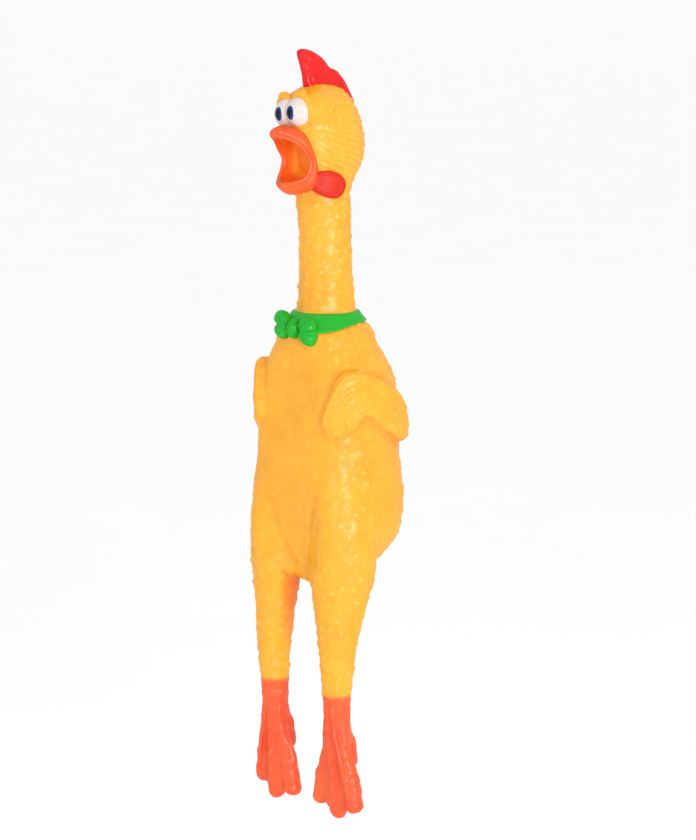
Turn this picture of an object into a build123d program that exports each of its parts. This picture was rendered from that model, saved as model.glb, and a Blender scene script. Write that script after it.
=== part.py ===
"""Rubber chicken: a hollow soft-vinyl novelty toy with a reed whistle in its neck.

Row frame: +Z up, the bird faces -Y, its left side is +X. The origin is on the neck's axis, in the middle of the
stretch a hand holds, so the body and legs hang below it and the head stands above it. Millimetres.

The real skin is one moulding that bends at its narrow places. Here it is cut into stiff stretches, with a soft
sleeve (a deforming node) across each place that bends, so that every limb moves on a joint of its own.
"""

import os
from math import cos, radians, sin

from build123d import *

# ---------------------------------------------------------------- driving dimensions
WALL = 2.2  # vinyl wall
GAP = 0.3  # between the end faces of neighbouring skin stretches
NECK_R = 13.4

# levels where the skin changes from one stretch to the next, from the head down
THROAT_TOP, THROAT_LOW = 23.0, 11.0
BEND_TOP, BEND_LOW = -11.0, -23.0
SWAY_TOP, SWAY_LOW = -27.0, -38.0
HIP_TOP, HIP_LOW = -181.0, -197.0
KNEE_TOP, KNEE_LOW = -209.0, -221.0
ANKLE_TOP, ANKLE_LOW = -235.0, -247.0
TOE_Z = -301.5

LEG_X, LEG_Y = 24.0, -14.0  # centre line of the left leg at the hip

# head
MOUTH_Z = 41.0  # centre of the open mouth
MOUTH_A, MOUTH_B = 8.0, 11.5  # half width and half height of the mouth lining, inside
LINING = 1.6  # wall of the mouth lining
MOUTH_BACK_Y = -9.0  # inner face of the back of the mouth
MOUTH_FRONT_Y = -23.0
THROAT_HOLE_R = 3.0
EYE_X, EYE_Y, EYE_Z, EYE_R = 5.0, -20.0, 65.0, 9.2
PUPIL_X, PUPIL_RX, PUPIL_RZ = 4.6, 2.3, 3.8

# squeeze zone of the belly
BELLY_Z, BELLY_A, BELLY_B = -110.0, 14.0, 27.0
BELLY_GAP = 0.4

# whistle
WHISTLE_R, WHISTLE_BORE_R, WHISTLE_H = 9.5, 8.0, 17.0
WHISTLE_RIB_R = NECK_R - WALL + 0.05  # the two ribs bite into the neck's bore

# sections of the skin: (z, half width, half depth, centre y)
NECK_SECTIONS = [(THROAT_LOW, 13.4), (0.0, 13.1), (BEND_TOP, 13.3)]
# body: (z, radius, centre y, depth of the flattened front ahead of that centre)
TORSO_SECTIONS = [
    (SWAY_LOW, 14.8, 0, 40),
    (-45, 21.0, 0, 24),
    (-51, 25.2, 0, 22.5),
    (-58, 28.6, 0.5, 22),
    (-70, 33.8, 1, 22.8),
    (-90, 36.6, 1, 24.6),
    (-112, 37.3, 1, 26.8),
    (-135, 39.5, 1, 25.2),
    (-150, 38.3, 1, 22.3),
    (-162, 32.5, 0, 19.5),
    (-171, 24, -3, 15.5),
    (-178, 11, -5, 10),
]
HEAD_SECTIONS = [
    (THROAT_TOP, 13.6, 13.6, -0.5),
    (32, 15.0, 16.5, -1.5),
    (43, 16.8, 20.5, -3),
    (55, 17.5, 23, -4),
    (66, 16.5, 20.5, -2.5),
    (75, 13, 17, -2),
    (80, 8.5, 11.5, -0.5),
    (82, 4, 6, 0),
]
# legs: (z, major half axis, minor half axis); the major axis points to the side and rear
LEG_SECTIONS = [
    (-108, 8, 7),
    (-126, 13.5, 12),
    (-148, 17.0, 14.5),
    (HIP_TOP, 15.0, 12.5),
    (HIP_LOW, 11.9, 10.5),
    (KNEE_TOP, 10.0, 9.3),
    (KNEE_LOW, 8.7, 8.3),
    (ANKLE_TOP, 7.6, 7.4),
    (ANKLE_LOW, 7.2, 6.8),
]

os.makedirs("parts", exist_ok=True)


# ---------------------------------------------------------------- helpers
def save(part, label):
    """Names a finished piece and writes its STEP."""
    part.label = label
    export_step(part, f"parts/{label}.step")


def loft_through(sections):
    """Solid through elliptical sections (z, half width, half depth, centre x, centre y, turn)."""
    with BuildPart() as body:
        for z, a, b, x, y, turn in sections:
            with BuildSketch(Plane.XY.offset(z)):
                with Locations((x, y)):
                    Ellipse(a, b, rotation=turn)
        loft()
    return body.part


def centred(sections, grow=0.0):
    """Head sections in the form loft_through takes."""
    return [(z, a + grow, b + grow, 0, y, 0) for z, a, b, y in sections]


def flattened_radius(angle, radius, front):
    """A circle's radius at an angle from the front, eased back to a flat front at the given depth."""
    ahead = max(cos(angle), 0) / front
    return (radius**-7 + ahead**7) ** (-1 / 7)


def body_loft(sections, grow=0.0):
    """Solid through the body's sections: round at the sides and back, and flattened in front."""
    with BuildPart() as body:
        for z, radius, y, front in sections:
            with BuildSketch(Plane.XY.offset(z)):
                with BuildLine():
                    rim = []
                    for step in range(24):
                        angle = radians(15 * step)
                        r = flattened_radius(angle, radius, front) + grow
                        rim.append((-r * sin(angle), y - r * cos(angle)))
                    Spline(*rim, periodic=True)
                make_face()
        loft()
    return body.part


def leg_section(z, side, grow=0.0):
    """The leg's section at height z, between the two nearest of LEG_SECTIONS. side is 1 left, -1 right."""
    for upper, lower in zip(LEG_SECTIONS, LEG_SECTIONS[1:]):
        if upper[0] >= z >= lower[0]:
            share = (upper[0] - z) / (upper[0] - lower[0])
            a, b = (u + (v - u) * share for u, v in zip(upper[1:], lower[1:]))
            return (z, a + grow, b + grow, side * LEG_X, LEG_Y, side * 45)
    raise ValueError(z)


def leg_tube(top, low, side):
    """A hollow stretch of leg skin between two levels."""
    outer = loft_through([leg_section(top, side), leg_section(low, side)])
    inner = loft_through([leg_section(top, side, -WALL), leg_section(low, side, -WALL)])
    with BuildPart() as tube:
        add(outer)
        add(inner, mode=Mode.SUBTRACT)
    return tube.part


def round_tube(top, low, r_top, r_low):
    """A hollow stretch of neck skin between two levels."""
    with BuildPart() as tube:
        with BuildSketch(Plane.XZ):
            Polygon((r_top - WALL, top), (r_top, top), (r_low, low), (r_low - WALL, low), align=None)
        revolve(axis=Axis.Z)
    return tube.part


# ---------------------------------------------------------------- neck: the stretch in the hand
with BuildPart() as neck_skin:
    with BuildSketch(Plane.XZ):
        with BuildLine():
            outside = Spline(*[(r, z) for z, r in NECK_SECTIONS])
            low_end = Line(outside @ 1, (NECK_R - WALL, BEND_TOP))
            bore = Line(low_end @ 1, (NECK_R - WALL, THROAT_LOW))
            Line(bore @ 1, outside @ 0)
        make_face()
    revolve(axis=Axis.Z)
save(neck_skin.part, "neck_skin")

save(round_tube(THROAT_TOP - GAP, THROAT_LOW + GAP, 13.6, 13.4), "throat_sleeve")
save(round_tube(BEND_TOP - GAP, BEND_LOW + GAP, 13.3, 13.9), "neck_sleeve")
save(round_tube(BEND_LOW, SWAY_TOP, 13.9, 14.1), "lower_neck_skin")
save(round_tube(SWAY_TOP - GAP, SWAY_LOW + GAP, 14.1, 14.8), "collar_sleeve")

# ---------------------------------------------------------------- whistle, pressed into the neck
with BuildPart() as whistle_barrel:
    Cylinder(WHISTLE_R, WHISTLE_H)
    with Locations((0, 0, 5.5), (0, 0, -5.5)):
        Cylinder(WHISTLE_RIB_R, 2)
    Cylinder(WHISTLE_BORE_R, WHISTLE_H, mode=Mode.SUBTRACT)
save(whistle_barrel.part, "whistle_barrel")

PLUG_H = 3.5
SEAT_R, SEAT_SLOT_R = 4.0, 2.6
SEAT_LOW = -WHISTLE_H / 2 + PLUG_H
SEAT_TOP = 6.0
with BuildPart() as reed_seat:  # the plug with its half-round channel, open at the foot
    with Locations((0, 0, -WHISTLE_H / 2)):
        Cylinder(WHISTLE_BORE_R - 0.02, PLUG_H, align=(Align.CENTER, Align.CENTER, Align.MIN))
    with BuildSketch(Plane.XY.offset(SEAT_LOW)):
        Circle(SEAT_R)
        with Locations((0, -SEAT_R)):
            Rectangle(2 * SEAT_R, 2 * SEAT_R, mode=Mode.SUBTRACT)
    extrude(amount=SEAT_TOP - SEAT_LOW)
    with BuildSketch(Plane.XY.offset(-WHISTLE_H / 2)):
        Circle(SEAT_SLOT_R)
        with Locations((0, -SEAT_R)):
            Rectangle(2 * SEAT_R, 2 * SEAT_R, mode=Mode.SUBTRACT)
    extrude(amount=SEAT_TOP - 1.5 + WHISTLE_H / 2, mode=Mode.SUBTRACT)
save(reed_seat.part, "reed_seat")

REED_T, REED_W, REED_GAP = 0.3, 6.0, 0.5
CLIP_H = 3.0
with BuildPart() as reed:  # stands just off the channel's flat face
    with Locations((0, -REED_GAP - REED_T / 2, SEAT_LOW + CLIP_H + 0.2)):
        Box(REED_W, REED_T, SEAT_TOP - SEAT_LOW - CLIP_H - 0.4, align=(Align.CENTER, Align.CENTER, Align.MIN))
save(reed.part, "reed")

with BuildPart() as reed_clip:  # wedge that nips the reed's root against the channel
    with BuildSketch(Plane.YZ):
        Polygon(
            (-0.05, SEAT_LOW + 0.05),
            (-4.5, SEAT_LOW + 0.05),
            (-3.0, SEAT_LOW + CLIP_H),
            (-0.05, SEAT_LOW + CLIP_H),
            align=None,
        )
    extrude(amount=REED_W / 2, both=True)
save(reed_clip.part, "reed_clip")

with BuildPart() as whistle_cap:
    with Locations((0, 0, WHISTLE_H / 2)):
        Cylinder(WHISTLE_R, 1.5, align=(Align.CENTER, Align.CENTER, Align.MIN))
    with BuildSketch(Plane.XY.offset(WHISTLE_H / 2)):
        Circle(1.3)
        with PolarLocations(4.8, 6):
            Circle(1.3)
    extrude(amount=1.5, mode=Mode.SUBTRACT)
save(whistle_cap.part, "whistle_cap")

# ---------------------------------------------------------------- head
head_outer = loft_through(centred(HEAD_SECTIONS))
head_inner = loft_through(
    [(THROAT_TOP - 1, 13.6 - WALL, 13.6 - WALL, 0, -0.5, 0)]
    + [(z if z < 75 else z - WALL, a - WALL, b - WALL, 0, y, 0) for z, a, b, y in HEAD_SECTIONS[:-1]]
)


def mouth_pocket(grow, back):
    """The mouth's elliptical space, from the given depth to well outside the face."""
    with BuildPart() as pocket:
        with BuildSketch(Plane.XZ.offset(-back)):
            with Locations((0, MOUTH_Z)):
                Ellipse(MOUTH_A + grow, MOUTH_B + grow)
        extrude(amount=60 + back)
    return pocket.part


mouth_hole = mouth_pocket(LINING + 0.05, MOUTH_BACK_Y + LINING)
mouth_space = mouth_pocket(0, MOUTH_BACK_Y)
mouth_block = mouth_pocket(LINING, MOUTH_BACK_Y + LINING)

with BuildPart() as head_skin:
    add(head_outer)
    add(head_inner, mode=Mode.SUBTRACT)
    add(mouth_hole, mode=Mode.SUBTRACT)
save(head_skin.part, "head_skin")

with BuildPart() as mouth_lining:  # the cup behind the beak, with the hole the sound comes out of
    add(mouth_block)
    with Locations((0, MOUTH_FRONT_Y, MOUTH_Z)):
        Box(80, 80, 80, align=(Align.CENTER, Align.MAX, Align.CENTER), mode=Mode.SUBTRACT)
    add(mouth_space, mode=Mode.SUBTRACT)
    with BuildSketch(Plane.XZ.offset(-MOUTH_BACK_Y - LINING)):
        with Locations((0, MOUTH_Z - 6)):
            Circle(THROAT_HOLE_R)
    extrude(amount=2 * LINING, mode=Mode.SUBTRACT)
save(mouth_lining.part, "mouth_lining")


def beak_half(upper):
    """One half of the gaping beak: the side outline, narrowed to a tip, less the head and the mouth."""
    with BuildPart() as half:
        with BuildSketch(Plane.YZ):
            with BuildLine():
                if upper:
                    Polyline((-12, MOUTH_Z + 0.1), (-12, 59), (-22, 61), (-31, 60))
                    Spline((-31, 60), (-36, 58.5), (-38.5, 56))
                    Spline((-38.5, 56), (-30, 52), (-25, 46), (-23, MOUTH_Z + 0.1))
                    Line((-23, MOUTH_Z + 0.1), (-12, MOUTH_Z + 0.1))
                else:
                    Polyline((-12, MOUTH_Z - 0.1), (-12, 27), (-20, 23))
                    Spline((-20, 23), (-28, 23.5), (-32.5, 28))
                    Spline((-32.5, 28), (-29, 32), (-25, 37), (-23, MOUTH_Z - 0.1))
                    Line((-23, MOUTH_Z - 0.1), (-12, MOUTH_Z - 0.1))
            make_face()
        extrude(amount=20, both=True)
        with BuildSketch(Plane.XY.offset(10)):
            with Locations((0, -12)):
                Ellipse(13.5, 27 if upper else 21.5)
        extrude(amount=60, mode=Mode.INTERSECT)
        with BuildSketch(Plane.XZ):
            with Locations((0, MOUTH_Z)):
                Ellipse(14, 20)
        extrude(amount=60, mode=Mode.INTERSECT)
        add(head_outer, mode=Mode.SUBTRACT)
        add(mouth_hole, mode=Mode.SUBTRACT)
    return half.part


upper_beak = beak_half(True)
lower_beak = beak_half(False)
save(upper_beak, "upper_beak")
save(lower_beak, "lower_beak")

COMB_T = 4.5
with BuildPart() as comb:  # the crest, a thick blade along the crown
    with BuildSketch(Plane.YZ):
        with BuildLine():
            Spline((-14.5, 76), (-16, 85), (-20, 95.5), (-17.5, 97.5), (-5, 94.5), (3, 88))
            Spline((3, 88), (8.5, 87), (15, 80.5), (18.5, 74), (19.5, 68))
            Polyline((19.5, 68), (11, 68), (0, 73), (-14.5, 76))
        make_face()
    extrude(amount=COMB_T / 2, both=True)
    add(head_outer, mode=Mode.SUBTRACT)
save(comb.part, "comb")


def placed_ellipsoid(centre, rx, ry, rz):
    """A solid near an ellipsoid, as a loft through its sections along Z."""
    steps = [-0.97, -0.8, -0.5, 0, 0.5, 0.8, 0.97]
    x, y, z = centre
    return loft_through(
        [(z + rz * s, rx * (1 - s * s) ** 0.5, ry * (1 - s * s) ** 0.5, x, y, 0) for s in steps]
    )


for side, word in ((1, "left"), (-1, "right")):
    lobe = placed_ellipsoid((side * 14.5, -7, 30.5), 5, 9, 6.5)
    with BuildPart() as wattle:
        add(lobe)
        add(head_outer, mode=Mode.SUBTRACT)
        add(lower_beak, mode=Mode.SUBTRACT)
    save(wattle.part.solids().sort_by(SortBy.VOLUME)[-1], f"{word}_wattle")

    with BuildPart() as eye:
        with Locations((side * EYE_X, EYE_Y, EYE_Z)):
            Sphere(EYE_R)
        with Locations((side * 0.1, 0, EYE_Z)):
            across = Align.MAX if side > 0 else Align.MIN
            Box(40, 120, 60, align=(across, Align.CENTER, Align.CENTER), mode=Mode.SUBTRACT)
        add(head_outer, mode=Mode.SUBTRACT)
        add(upper_beak, mode=Mode.SUBTRACT)
    save(eye.part, f"{word}_eye")

    with BuildPart() as pupil:  # a thin oval shield on the front of the eye
        with Locations((side * EYE_X, EYE_Y, EYE_Z)):
            Sphere(EYE_R + 0.5)
        with BuildSketch(Plane.XZ):
            with Locations((side * PUPIL_X, EYE_Z)):
                Ellipse(PUPIL_RX, PUPIL_RZ)
        extrude(amount=60, mode=Mode.INTERSECT)
        with Locations((side * EYE_X, EYE_Y, EYE_Z)):
            Sphere(EYE_R + 0.02, mode=Mode.SUBTRACT)
        add(head_outer, mode=Mode.SUBTRACT)
    save(pupil.part.solids().sort_by(Axis.Y)[0], f"{word}_pupil")

    with BuildPart() as brow:  # the ridge over the eye
        with BuildLine():
            arch = Spline(
                (side * 2.8, -27.5, 74.5),
                (side * 8, -24.5, 76.5),
                (side * 13.8, -18.5, 74),
                (side * 16.5, -13, 66),
            )
        with BuildSketch(Plane(origin=arch @ 0, z_dir=arch % 0)):
            Circle(2.2)
        sweep()
        add(head_outer, mode=Mode.SUBTRACT)
        add(eye.part, mode=Mode.SUBTRACT)
    save(brow.part, f"{word}_brow")

# ---------------------------------------------------------------- torso
torso_outer = body_loft(TORSO_SECTIONS)
inner_sections = [(z if z > -160 else z + WALL, r, y, front) for z, r, y, front in TORSO_SECTIONS]
torso_inner = body_loft([(SWAY_LOW + 1, 14.8, 0, 40)] + inner_sections, -WALL)
THIGH_LEVELS = [-108, -126, -148, -165, HIP_TOP]  # the thigh rises out of the body's side
thighs_outer = [loft_through([leg_section(z, s) for z in THIGH_LEVELS]) for s in (1, -1)]
thighs_inner = [loft_through([leg_section(z, s, -WALL) for z in THIGH_LEVELS]) for s in (1, -1)]


def belly_prism(grow):
    """The squeeze zone's outline, run from the middle of the body out through its front."""
    with BuildPart() as prism:
        with BuildSketch(Plane.XZ):
            with Locations((0, BELLY_Z)):
                Ellipse(BELLY_A + grow, BELLY_B + grow)
        extrude(amount=80)
    return prism.part


with BuildPart() as torso_skin:
    add(torso_outer)
    add(thighs_outer)
    add(torso_inner, mode=Mode.SUBTRACT)
    add(thighs_inner, mode=Mode.SUBTRACT)
    add(belly_prism(BELLY_GAP), mode=Mode.SUBTRACT)
save(torso_skin.part, "torso_skin")

with BuildPart() as belly_panel:
    add(torso_outer)
    add(torso_inner, mode=Mode.SUBTRACT)
    add(belly_prism(0), mode=Mode.INTERSECT)
save(belly_panel.part, "belly_panel")

with BuildPart() as tail:  # the stub at the rump
    with BuildLine():
        spine = Line((0, 22, -146), (0, 39, -168))
    for share, a, b in ((0, 15, 9), (0.6, 11, 7), (1, 6, 4)):
        with BuildSketch(Plane(origin=spine @ share, x_dir=(1, 0, 0), z_dir=spine % 0)):
            Ellipse(a, b)
    loft()
    add(torso_outer, mode=Mode.SUBTRACT)
save(tail.part.solids().sort_by(Axis.Y)[-1], "tail")

# wing outline on the body's side: (angle round from the front, height, radius of the limb there)
WING_PATH = [(40, -92, 5.5), (51, -84, 9.0), (76, -75, 9.5), (101, -82, 9.5), (124, -96, 6.0)]
WING_R = 35.0  # distance of the limb's middle from the body's axis
WING_T = 5.0  # half thickness of the limb
for side, word in ((1, "left"), (-1, "right")):
    with BuildPart() as wing:
        points = [(side * WING_R * sin(radians(t)), -WING_R * cos(radians(t)), z) for t, z, _ in WING_PATH]
        with BuildLine():
            limb = Spline(*points)
        for share, (_, _, r) in zip((0, 0.25, 0.5, 0.75, 1), WING_PATH):
            with BuildSketch(Plane(origin=limb @ share, x_dir=(0, 0, 1), z_dir=limb % share)):
                Ellipse(r, WING_T)
        loft()
        add(torso_outer, mode=Mode.SUBTRACT)
    save(wing.part.solids().sort_by(SortBy.VOLUME)[-1], f"{word}_wing")

# ---------------------------------------------------------------- collar and bow tie
COLLAR_TOP, COLLAR_LOW = -38.0, -52.0
COLLAR_EDGE = Plane(origin=(0, 0, -45.2), z_dir=(0, -0.15, 1))  # the lower edge, deeper in front
with BuildPart() as collar:
    with BuildSketch(Plane.XZ):
        Polygon((15.2, COLLAR_TOP), (18.0, COLLAR_TOP), (28.5, COLLAR_LOW), (24.0, COLLAR_LOW), align=None)
    revolve(axis=Axis.Z)
    split(bisect_by=COLLAR_EDGE, keep=Keep.TOP)
    add(torso_outer, mode=Mode.SUBTRACT)
save(collar.part.solids().sort_by(SortBy.VOLUME)[-1], "collar")

BOW_Y, BOW_Z = -23.0, -44.8
with BuildPart() as bow_knot:
    with Locations((0, BOW_Y, BOW_Z)):
        Box(6.5, 8, 9)
    fillet(bow_knot.edges(), 2.2)
    add(collar.part, mode=Mode.SUBTRACT)
    add(torso_outer, mode=Mode.SUBTRACT)
save(bow_knot.part.solids().sort_by(Axis.Y)[0], "bow_knot")
for side, word in ((1, "left"), (-1, "right")):
    with BuildPart() as loop:
        with BuildSketch(Plane.YZ.offset(side * 3.3)):
            with Locations((BOW_Y + 0.5, BOW_Z)):
                Ellipse(3.0, 3.6)
        with BuildSketch(Plane.YZ.offset(side * 10)):
            with Locations((BOW_Y + 1.5, BOW_Z)):
                Ellipse(4.2, 6.8)
        with BuildSketch(Plane.YZ.offset(side * 14.8)):
            with Locations((BOW_Y + 3, BOW_Z)):
                Ellipse(2.6, 5.4)
        loft()
        add(collar.part, mode=Mode.SUBTRACT)
        add(torso_outer, mode=Mode.SUBTRACT)
    save(loop.part.solids().sort_by(SortBy.VOLUME)[-1], f"bow_{word}_loop")

# ---------------------------------------------------------------- legs
# toes: (tip to the side, tip forward, tip height, tip radius), outwards positive
TOES = [(-13.0, -1.0, -292.5, 4.5), (0.5, -1.5, TOE_Z + 4.6, 4.6), (12.5, -1.0, -292.0, 4.5)]
TOE_ROOT_Z = -270.0


def limb(start, end, r_start, r_end):
    """A tapering round limb from start to end with a ball at its end."""
    with BuildPart() as made:
        with BuildLine():
            bone = Line(start, end)
        with BuildSketch(Plane(origin=bone @ 0, z_dir=bone % 0)):
            Circle(r_start)
        with BuildSketch(Plane(origin=bone @ 1, z_dir=bone % 0)):
            Circle(r_end)
        loft()
        with Locations(bone @ 1):
            Sphere(r_end)
    return made.part


for side, word in ((1, "left"), (-1, "right")):
    save(leg_tube(HIP_TOP - GAP, HIP_LOW + GAP, side), f"{word}_hip_sleeve")
    save(leg_tube(HIP_LOW, KNEE_TOP, side), f"{word}_thigh_skin")
    save(leg_tube(KNEE_TOP - GAP, KNEE_LOW + GAP, side), f"{word}_knee_sleeve")
    save(leg_tube(KNEE_LOW, ANKLE_TOP, side), f"{word}_shank_skin")
    save(leg_tube(ANKLE_TOP - GAP, ANKLE_LOW + GAP, side), f"{word}_ankle_sleeve")

    leg_x = side * LEG_X
    instep = loft_through(
        [
            (ANKLE_LOW, 7.2, 6.8, leg_x, LEG_Y, 0),
            (-260, 8.8, 6.2, leg_x, LEG_Y - 0.5, 0),
            (-275, 13.0, 5.0, leg_x, LEG_Y - 1, 0),
            (-289, 14.8, 4.2, leg_x, LEG_Y - 1, 0),
        ]
    )
    toes = [
        limb((leg_x + side * 0.5 * x, LEG_Y - 1, TOE_ROOT_Z), (leg_x + side * x, LEG_Y + y, z), 0.95 * r, r)
        for x, y, z, r in TOES
    ]
    hallux = limb((leg_x, LEG_Y + 2, -256), (leg_x, LEG_Y + 11, -271), 4.6, 3.6)
    with BuildPart() as foot:
        add(instep)
        for toe in toes:
            add(toe)
        add(hallux)
    save(foot.part, f"{word}_foot")
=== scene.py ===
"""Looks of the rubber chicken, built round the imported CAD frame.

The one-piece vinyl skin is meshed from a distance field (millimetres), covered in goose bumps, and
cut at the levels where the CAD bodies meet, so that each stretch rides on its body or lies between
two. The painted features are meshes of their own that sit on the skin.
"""

import itertools
import math

import bmesh
import bpy
import numpy as np
import openvdb
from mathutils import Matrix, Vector
from mathutils.kdtree import KDTree


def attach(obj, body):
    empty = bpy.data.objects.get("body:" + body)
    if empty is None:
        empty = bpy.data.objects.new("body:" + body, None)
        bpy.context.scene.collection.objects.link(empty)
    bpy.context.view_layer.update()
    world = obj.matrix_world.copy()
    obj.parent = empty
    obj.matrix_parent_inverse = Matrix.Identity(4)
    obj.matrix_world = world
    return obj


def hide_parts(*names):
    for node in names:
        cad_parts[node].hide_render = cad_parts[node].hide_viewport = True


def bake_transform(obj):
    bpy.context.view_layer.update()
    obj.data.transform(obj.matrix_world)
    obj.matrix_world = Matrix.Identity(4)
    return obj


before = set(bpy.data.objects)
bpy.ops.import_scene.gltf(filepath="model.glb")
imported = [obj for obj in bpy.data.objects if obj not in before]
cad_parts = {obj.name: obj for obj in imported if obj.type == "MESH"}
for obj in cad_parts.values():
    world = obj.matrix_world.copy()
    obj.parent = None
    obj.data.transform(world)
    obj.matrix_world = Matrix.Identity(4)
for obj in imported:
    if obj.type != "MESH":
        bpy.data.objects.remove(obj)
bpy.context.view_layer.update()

MM = 0.001
FINE = 0.6  # grid step of the skin, mm
FINEST = 0.4  # grid step of the bow tie, mm
FINE_TRIM = FINEST  # grid step of the other painted features, mm
FAR = 3.0  # distance beyond which a field is cut off, mm
rng = np.random.default_rng(7)

# heights between which the skin passes from one body to the next, and the legs' centre lines
THROAT, BEND, SWAY = (23.0, 11.0), (-11.0, -23.0), (-27.0, -38.0)
HIP, KNEE, ANKLE = (-181.0, -197.0), (-209.0, -221.0), (-235.0, -247.0)
LEVELS = THROAT + BEND + SWAY + HIP + KNEE + ANKLE
WAIST = -114.0  # the torso's skin is two pieces that meet here
LEG_X, LEG_Y = 24.0, -14.0
SIDES = (("left", 1), ("right", -1))

# half width, top and bottom of the part of the belly that is pressed in, and of the frame round it
PRESSED = (5.0, -90.0, -130.0)
GIVING = (17.0, -74.0, -146.0)

SKIN_BOX = ((-46, -42, -304), (46, 46, 86))
# heights that a part of the skin lies between, above or below: elsewhere it is skipped
WING_LOW, WING_TOP = -109, -60
FOLD_LOW, FOLD_TOP = -184, -115
HEAD_FROM, LEG_FROM, TAIL_FROM, FOOT_FROM = 18, -90, -125, -232
LEG_TOP, LEG_END = -100, -276

# heights at which the goose bumps change
HEAD_BUMPS, BODY_BUMPS, RUMP_BUMPS, FOOT_BUMPS = 24, -52, -165, -248


# ---- distance fields, millimetres
def fade(value, a, b):
    """0 at a, 1 at b, smooth between and flat beyond. a may be more than b."""
    t = np.clip((value - a) / (b - a), 0, 1)
    return t * t * (3 - 2 * t)


def smooth_min(a, b, k):
    h = np.clip(0.5 + 0.5 * (b - a) / k, 0, 1)
    return b + (a - b) * h - k * h * (1 - h)


def smooth_max(a, b, k):
    return -smooth_min(-a, -b, k)


def ellipsoid(x, y, z, c, r):
    px, py, pz = (x - c[0]) / r[0], (y - c[1]) / r[1], (z - c[2]) / r[2]
    k0 = np.sqrt(px * px + py * py + pz * pz)
    k1 = np.sqrt((px / r[0]) ** 2 + (py / r[1]) ** 2 + (pz / r[2]) ** 2)
    return k0 * (k0 - 1) / np.maximum(k1, 1e-6)


def capsule(x, y, z, a, b, ra, rb):
    ax, ay, az = a
    bx, by, bz = b[0] - ax, b[1] - ay, b[2] - az
    along = (x - ax) * bx + (y - ay) * by + (z - az) * bz
    t = np.clip(along / (bx * bx + by * by + bz * bz), 0, 1)
    dx, dy, dz = x - ax - t * bx, y - ay - t * by, z - az - t * bz
    return np.sqrt(dx * dx + dy * dy + dz * dz) - (ra + (rb - ra) * t)


def chain(x, y, z, points, k):
    """Capsules through (x, y, z, radius) points, melted together."""
    d = None
    for p, q in zip(points, points[1:]):
        c = capsule(x, y, z, p[:3], q[:3], p[3], q[3])
        d = c if d is None else smooth_min(d, c, k)
    return d


def table(keys):
    """Sorted heights and smoothed columns of a profile given as (z, value, ...) rows."""
    rows = np.array(sorted(keys), float)
    z = np.arange(rows[0, 0], rows[-1, 0] + 0.5, 0.5)
    window = np.hanning(15)
    window /= window.sum()
    columns = []
    for i in range(1, rows.shape[1]):
        v = np.interp(z, rows[:, 0], rows[:, i])
        columns.append(np.convolve(np.pad(v, 7, mode="edge"), window, mode="valid"))
    return z, columns


# trunk: (z, radius, centre y, depth of the flattened front ahead of that centre)
TRUNK = table([
    (62, -8, 0, 40), (46, 7, 0, 40), (36, 12.5, -1.5, 40), (23, 14.0, -2.0, 40),
    (14, 13.7, -1.3, 40), (4, 13.3, -0.3, 40), (-20, 13.7, 0, 40), (-30, 14.3, 0, 40),
    (-36, 14.9, 0, 36), (-40, 16.8, 0, 28), (-43, 20.2, 0, 24), (-46, 23.4, 0, 22.3),
    (-50, 24.9, 0, 21.6), (-56, 27.3, 0, 21.3), (-62, 30.5, 0.5, 21.8), (-68, 33.2, 1, 22.4),
    (-74, 35.2, 1, 22.8), (-82, 36.6, 1, 23.4), (-92, 37.0, 1, 24.6), (-112, 37.3, 1, 26.6),
    (-122, 38.4, 1, 26.4), (-132, 39.5, 1, 25.4), (-142, 39.6, 1, 23.6), (-149, 38.7, 1, 22.3),
    (-155, 36.8, 0.6, 21), (-161, 33.6, 0, 19.4), (-167, 29.0, -1.5, 17), (-172, 23.0, -3.5, 14.5),
    (-177, 14.5, -5.5, 11), (-181, 3, -7, 7), (-185, -9, -8, 4), (-200, -23, -8, 2),
])
# leg: (z, half axis outwards and to the rear, half axis across it, centre x, centre y)
LEG = table([
    (-98, 1, 1, 23, -12), (-108, 8, 6, 23, -12), (-126, 14, 11.7, 23.5, -12),
    (-146, 17.5, 14.4, 24, -12), (-163, 17.7, 14.2, 24.8, -12), (-172, 17.0, 13.4, 24.8, -12.3),
    (-181, 15.0, 12.5, 24.6, -12.8), (-190, 13.1, 11.3, 24.4, -13.4),
    (-199, 11.6, 10.3, 24.3, -14.2), (-209, 10.0, 9.4, 24.3, -15), (-221, 8.7, 8.4, 24.2, -15.4),
    (-235, 7.5, 7.4, 23.9, -15.3), (-247, 7.1, 6.7, 23.7, -15.0), (-258, 7.0, 5.6, 23.7, -14.7),
    (-268, 5.5, 4.2, 23.7, -14.5), (-276, 2, 1, 23.7, -14.5),
])


def trunk(x, y, z):
    zs, (radius, centre, front) = TRUNK
    r, c, f = np.interp(z, zs, radius), np.interp(z, zs, centre), np.interp(z, zs, front)
    round_part = np.hypot(x, y - c) - r
    return smooth_max(round_part, c - y - f, 7.0)


def leg(x, y, z):
    zs, (major, minor, centre_x, centre_y) = LEG
    a, b = np.interp(z, zs, major), np.interp(z, zs, minor)
    dx, dy = x - np.interp(z, zs, centre_x), y - np.interp(z, zs, centre_y)
    u, v = (dx + dy) * math.sqrt(0.5), (dy - dx) * math.sqrt(0.5)
    k0 = np.sqrt((u / a) ** 2 + (v / b) ** 2)
    k1 = np.sqrt((u / a**2) ** 2 + (v / b**2) ** 2)
    d = k0 * (k0 - 1) / np.maximum(k1, 1e-6)
    # flat beside the belly
    flat = (-y - 21.3 - 0.6 * (x - 12) - 0.5 * np.clip(-164 - z, 0, 20)) * 0.857
    d = smooth_max(d, flat, 3.0)
    return np.maximum(d, np.maximum(z - LEG_TOP, LEG_END - z))


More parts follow.
